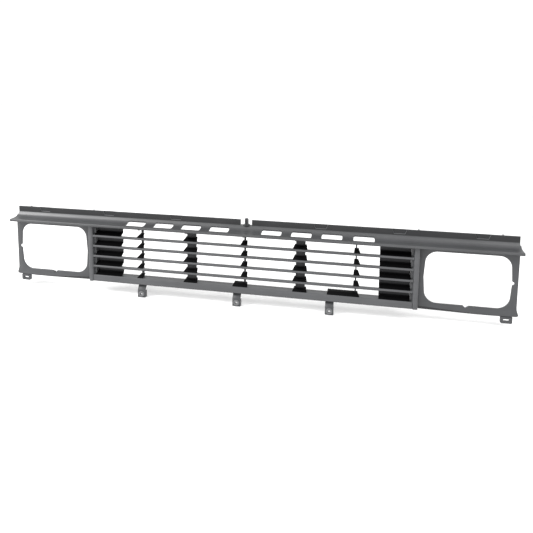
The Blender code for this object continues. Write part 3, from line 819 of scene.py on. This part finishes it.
def lamp_loop(growth, y, side, steps=14):
    """The lamp opening at a depth, with larger radii below and gently bowed upright sides."""
    low = (LAMP_INNER - growth, LAMP_BOTTOM - growth)
    high = (LAMP_OUTER + growth, LAMP_BOTTOM + LAMP_HEIGHT + growth)
    lower, upper = LAMP_LOWER_RADIUS + growth, LAMP_UPPER_RADIUS + growth
    middle = (low[1] + high[1]) / 2
    points = arc((low[0] + lower, low[1] + lower), lower, 180, 270, steps)
    points += arc((high[0] - lower, low[1] + lower), lower, 270, 360, steps)
    points.append((high[0] + LAMP_BOW, middle))
    points += arc((high[0] - upper, high[1] - upper), upper, 0, 90, steps)
    points += arc((low[0] + upper, high[1] - upper), upper, 90, 180, steps)
    points.append((low[0] - LAMP_BOW, middle))
    return [(x, y, z) for x, z in mirrored(points, side)]


def lamp_cutter(side):
    """The opening: a rolled edge at the face, then a short straight return to the back."""
    face, roll, reach = BEZEL_LOW.y, LAMP_ROLL, LAMP_ROLL_DEPTH
    loops = [lamp_loop(roll, face - 0.002, side), lamp_loop(roll, face - 0.0001, side)]
    for step in range(1, 7):
        angle = math.pi / 2 * step / 6
        loops.append(lamp_loop(roll * (1 - math.sin(angle)), face + reach * (1 - math.cos(angle)), side))
    loops.append(lamp_loop(0.0, BEZEL_HIGH.y + 0.004, side))
    return loft("lamp_cutter", loops)


def bezel_hollow(side):
    """The space behind the bezel's face, inside its rim and above its solid lower bar."""
    left, right = BEZEL_LOW.x + WALL, BEZEL_HIGH.x - BEZEL_FLARE - WALL
    low, high = sorted((side * left, side * right))
    return box("hollow", (low, BEZEL_LOW.y + WALL, BAR_TOP), (high, 0.04, BEZEL_HIGH.z - WALL))


def bezel_slope(side, steps=8):
    """The cut that rolls the lower edge of the face back and down, deepest beside the end post."""
    front, back = BEZEL_LOW.y - 0.001, BEZEL_HIGH.y - 0.0015
    low = BEZEL_LOW.z - 0.001
    loops = []
    for x, share in ((BEZEL_LOW.x - 0.002, 1.0), (SLOPE_END, 0.05)):
        loop = [(front, low)]
        for step in range(steps + 1):
            across = step / steps
            bulge = 0.0010 * math.sin(math.pi * across)
            y = back + (front - back) * across
            z = low + (SLOPE_TOP - low) * across
            loop.append((y - bulge, z - bulge * 0.45))
        loops.append(
            [(side * x, front + (y - front) * share, low + (z - low) * share) for y, z in loop]
        )
    return loft("slope", loops)


def adjuster_notches(side):
    """Notches with sloping sides, in the outer edge of the opening and in its lower edge."""
    overlap = 0.004
    middle = LAMP_BOTTOM + LAMP_HEIGHT / 2
    across = (LAMP_INNER + LAMP_OUTER) / 2
    shape = ((-overlap, NOTCH_MOUTH), (0.0, NOTCH_MOUTH), (NOTCH_DEPTH, NOTCH_TIP))
    shape += ((NOTCH_DEPTH, -NOTCH_TIP), (0.0, -NOTCH_MOUTH), (-overlap, -NOTCH_MOUTH))
    outer = [(LAMP_OUTER + reach, middle + aside) for reach, aside in shape]
    lower = [(across + aside, LAMP_BOTTOM - reach) for reach, aside in shape]
    ends = (BEZEL_LOW.y - 0.004, BEZEL_HIGH.y + 0.004)
    return [along_y("notch", mirrored(outline, side), ends) for outline in (outer, lower)]


def bezel(place, side):
    face, back = BEZEL_LOW.y, BEZEL_HIGH.y
    loops = []
    for inset, y in ((0.0014, face), (0.0006, face + 0.0003), (0.0, face + 0.0014), (0.0, back)):
        loops.append([(x, y, z) for x, z in mirrored(bezel_outline(inset), side)])
    body = loft(f"bezel_{place}", loops)
    cuts = [bezel_hollow(side), lamp_cutter(side), bezel_slope(side)] + adjuster_notches(side)
    combine(body, cuts, "DIFFERENCE")
    finish_piece(body, BEZEL_PLASTIC, "bezel_plastic", f"lamp_bezel_{place}")


# ---------------------------------------------------------------- tabs and feet


def tab(place):
    """A cranked tab: a root under the rail, a slope forward, and a plate between two cheeks."""
    low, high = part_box(f"lower_tab_{place}")
    face, root, back = low.y, high.z, high.y
    outline = [
        (back - TAB_PLATE * 1.3, root),
        (face, TAB_KNEE),
        (face, low.z),
        (face + TAB_PLATE, low.z),
        (face + TAB_PLATE, TAB_KNEE - 0.0015),
        (back, root),
    ]
    body = along_x(f"tab_{place}", outline, (low.x, high.x))
    cheeks = []
    for x in (low.x, high.x - TAB_CHEEK):
        corner = (x + TAB_CHEEK, face + TAB_BOX_DEPTH, TAB_KNEE - 0.003)
        cheeks.append(box("cheek", (x, face + 0.0005, low.z), corner))
    combine(body, cheeks, "UNION")
    soften(body, 0.0005)
    centre = ((low.x + high.x) / 2, TAB_KNEE / 2 - 0.001)
    rings = ((GROMMET_HOLE, face - 0.003), (GROMMET_HOLE, face + 0.008))
    combine(body, [loft("hole", tube_loops(centre, rings))], "DIFFERENCE")
    finish_piece(body, BEZEL_PLASTIC, "bezel_plastic", f"lower_tab_{place}")


def grommet(place):
    """A rubber grommet turned about its bore: a flange with rounded edges, a neck and an open bore."""
    low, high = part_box(f"tab_grommet_{place}")
    centre = ((low.x + high.x) / 2, (low.z + high.z) / 2)
    outer, bore, neck = (high.x - low.x) / 2, GROMMET_BORE, GROMMET_NECK
    profile = [(bore + 0.0006, low.y), (outer - 0.0010, low.y), (outer - 0.0003, low.y + 0.0004)]
    profile += [(outer, low.y + 0.0010), (outer, low.y + 0.0016), (outer - 0.0002, low.y + 0.0018)]
    profile += [(neck, low.y + 0.0018), (neck, high.y - 0.0004), (neck - 0.0004, high.y)]
    profile += [(bore + 0.0003, high.y), (bore, high.y - 0.0003), (bore, low.y + 0.0006)]
    work = bmesh.new()
    rings = [[work.verts.new(point) for point in loop] for loop in tube_loops(centre, profile)]
    sides = len(rings[0])
    for number, ring in enumerate(rings):
        following = rings[(number + 1) % len(rings)]
        for index in range(sides):
            after = (index + 1) % sides
            work.faces.new((ring[index], ring[after], following[after], following[index]))
    bmesh.ops.recalc_face_normals(work, faces=work.faces)
    mesh = bpy.data.meshes.new(f"grommet_{place}")
    work.to_mesh(mesh)
    work.free()
    mesh.shade_smooth()
    mesh.set_sharp_from_angle(angle=math.radians(50.0))
    made = bpy.data.objects.new(f"grommet_{place}", mesh)
    bpy.context.scene.collection.objects.link(made)
    finish_piece(made, RUBBER, "grommet_rubber", f"tab_grommet_{place}")


def foot(place):
    """A slotted loop under the outer lower corner of a bezel."""
    name = f"end_foot_{place}"
    low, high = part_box(name)
    outline = rounded_box((low.x, low.z), (high.x, high.z), (0.004, 0.004, 0.0005, 0.0005), 6)
    body = soften(along_y(f"foot_{place}", outline, (low.y, high.y)), 0.0006)
    across, up = (low.x + high.x) / 2, (low.z + high.z) / 2
    slot_low = (across - FOOT_SLOT_HALF, up - FOOT_SLOT_HALF_HEIGHT)
    slot_high = (across + FOOT_SLOT_HALF, up + FOOT_SLOT_HALF_HEIGHT)
    slot = rounded_box(slot_low, slot_high, (0.0026,) * 4, 6)
    combine(body, [along_y("slot", slot, (low.y - 0.003, high.y + 0.003))], "DIFFERENCE")
    finish_piece(body, BEZEL_PLASTIC, "bezel_plastic", name)


# ---------------------------------------------------------------- floor, light and camera


def floor():
    work = bmesh.new()
    bmesh.ops.create_grid(work, x_segments=2, y_segments=2, size=FLOOR_REACH)
    mesh = bpy.data.meshes.new("floor")
    work.to_mesh(mesh)
    work.free()
    ground = bpy.data.objects.new("floor", mesh)
    ground.location.z = CAD_BOX[0].z - 0.0002
    bpy.context.scene.collection.objects.link(ground)
    made = bpy.data.materials.new("floor_white")
    made.use_nodes = True
    shader = made.node_tree.nodes["Principled BSDF"]
    shader.inputs["Base Color"].default_value = (1.0, 1.0, 1.0, 1.0)
    shader.inputs["Roughness"].default_value = 0.45
    mesh.materials.append(made)


def area_light(name, place, target, size, power):
    light = bpy.data.lights.new(name, "AREA")
    light.shape = "RECTANGLE"
    light.size, light.size_y = size
    light.energy = power
    lamp = bpy.data.objects.new(name, light)
    lamp.location = place
    aim = Vector(target) - Vector(place)
    lamp.rotation_euler = aim.to_track_quat("-Z", "Y").to_euler()
    bpy.context.scene.collection.objects.link(lamp)


def lights():
    world = bpy.data.worlds.new("studio")
    bpy.context.scene.world = world
    world.use_nodes = True
    background = world.node_tree.nodes["Background"]
    background.inputs["Color"].default_value = (1.0, 1.0, 1.0, 1.0)
    background.inputs["Strength"].default_value = 1.03
    area_light("key", (-2.2, -1.2, 1.9), (-0.4, 0.0, 0.2), (1.3, 1.1), 80.0)
    area_light("strip", (0.3, -1.15, 1.85), (0.2, 0.0, 0.2), (2.4, 0.4), 8.0)
    area_light("right", (1.7, -1.0, 1.6), (0.65, 0.0, 0.2), (0.7, 0.7), 14.0)
    bpy.context.scene.view_settings.view_transform = "Standard"


def camera():
    data = bpy.data.cameras.new("camera")
    data.lens = CAMERA_LENS
    data.sensor_width = 36.0
    data.shift_y = CAMERA_SHIFT
    yaw, pitch, roll = (math.radians(a) for a in (CAMERA_YAW, CAMERA_PITCH, CAMERA_ROLL))
    ahead = Vector(
        (-math.sin(yaw) * math.cos(pitch), math.cos(yaw) * math.cos(pitch), -math.sin(pitch))
    )
    level = Vector((math.cos(yaw), math.sin(yaw), 0.0))
    upward = level.cross(ahead)
    right = math.cos(roll) * level + math.sin(roll) * upward
    up = -math.sin(roll) * level + math.cos(roll) * upward
    turn = Matrix((right, up, -ahead)).transposed()
    viewer = bpy.data.objects.new("camera", data)
    viewer.matrix_world = Matrix.Translation(CAMERA_PLACE) @ turn.to_4x4()
    bpy.context.scene.collection.objects.link(viewer)
    bpy.context.scene.camera = viewer


HEADER_PLASTIC = moulded_plastic(
    "header_plastic", (0.042, 0.043, 0.045), (0.060, 0.061, 0.064), 0.38, 0.50, shades=(painted_flange_shade_and_highlight,)
)
LOUVRE_PLASTIC = moulded_plastic("louvre_plastic", (0.060, 0.061, 0.064), (0.080, 0.082, 0.086), 0.44)
BEZEL_PLASTIC = moulded_plastic("bezel_plastic", (0.044, 0.045, 0.048), (0.060, 0.062, 0.065), 0.48)
# Painted shade: the ribs and blanking panels sit in the recess behind the slats and get darker copies of the
# plastic, with painted shadow above every slat
SHADED_RECESS_PLASTIC = moulded_plastic(
    "rib_plastic_shaded", (0.024, 0.024, 0.026), (0.036, 0.036, 0.038), 0.60, 0.30, shades=(painted_cell_shadow,)
)
SHADED_PANEL_PLASTIC = moulded_plastic(
    "panel_plastic_shaded", (0.018, 0.018, 0.020), (0.027, 0.027, 0.029), 0.58, 0.25, shades=(painted_cell_shadow,)
)
RUBBER = moulded_plastic("grommet_rubber", (0.110, 0.112, 0.115), (0.160, 0.163, 0.168), 0.70, 0.3, 0.05)

header()
locating_peg()
slats()
bottom_rail()
ribs()
blanking_panels()
end_posts()
for place, side in SIDES.items():
    bezel(place, side)
    foot(place)
for place in ("left", "centre", "right"):
    tab(place)
    grommet(place)
floor()
lights()
camera()
